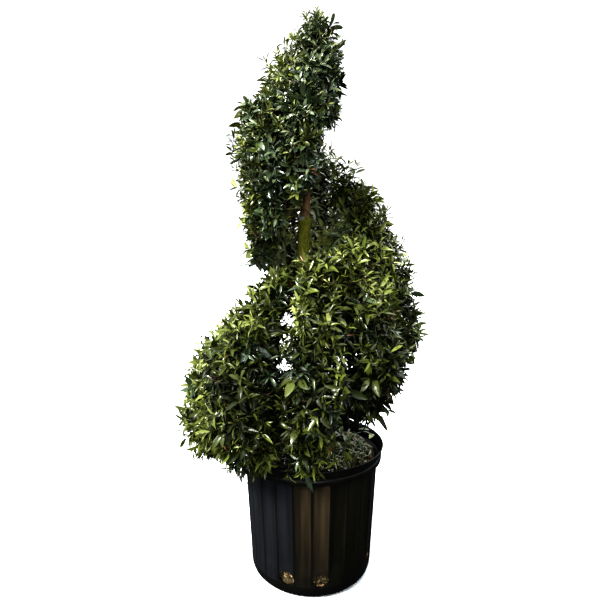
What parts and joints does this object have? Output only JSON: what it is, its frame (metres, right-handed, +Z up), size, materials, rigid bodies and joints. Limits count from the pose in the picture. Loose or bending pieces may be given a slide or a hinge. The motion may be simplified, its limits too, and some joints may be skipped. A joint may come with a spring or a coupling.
{
  "type": "spiral topiary",
  "caption": "Evergreen shrub clipped into a spiral ribbon of glossy leaves round one bare stem, standing in a black fluted nursery pot.",
  "frame": {"origin": "centre of the pot's flat underside, on the surface it stands on", "axes": "+Z up the stem; -Y towards the side where the lower turn of the spiral is fullest, which faces the viewer; +X to the viewer's right"},
  "size_m": [0.7135, 0.6593, 1.646],
  "materials": {
    "pot": "satin",
    "soil": "matte",
    "bark": "matte",
    "bough": "matte",
    "foliage": "satin"
  },
  "bodies": {
    "root": {"pot": "pot", "soil": "soil", "trunk": "bark", "bough_tail": "bough", "bough_low_left": "bough", "bough_low_front_left": "bough", "bough_low_front": "bough", "bough_low_front_right": "bough", "bough_low_right": "bough", "bough_mid_right": "bough", "bough_mid_back": "bough", "bough_mid_back_left": "bough", "bough_mid_left": "bough", "bough_high_front_left": "bough", "bough_high_front": "bough", "foliage_tail": "foliage", "foliage_low_left": "foliage", "foliage_low_front_left": "foliage", "foliage_low_front": "foliage", "foliage_low_front_right": "foliage", "foliage_low_right": "foliage", "foliage_mid_right": "foliage", "foliage_mid_back": "foliage", "foliage_mid_back_left": "foliage", "foliage_mid_left": "foliage", "foliage_high_front_left": "foliage", "foliage_high_front": "foliage", "foliage_high_right": "foliage", "foliage_tip": "foliage"}
  },
  "joints": []
}
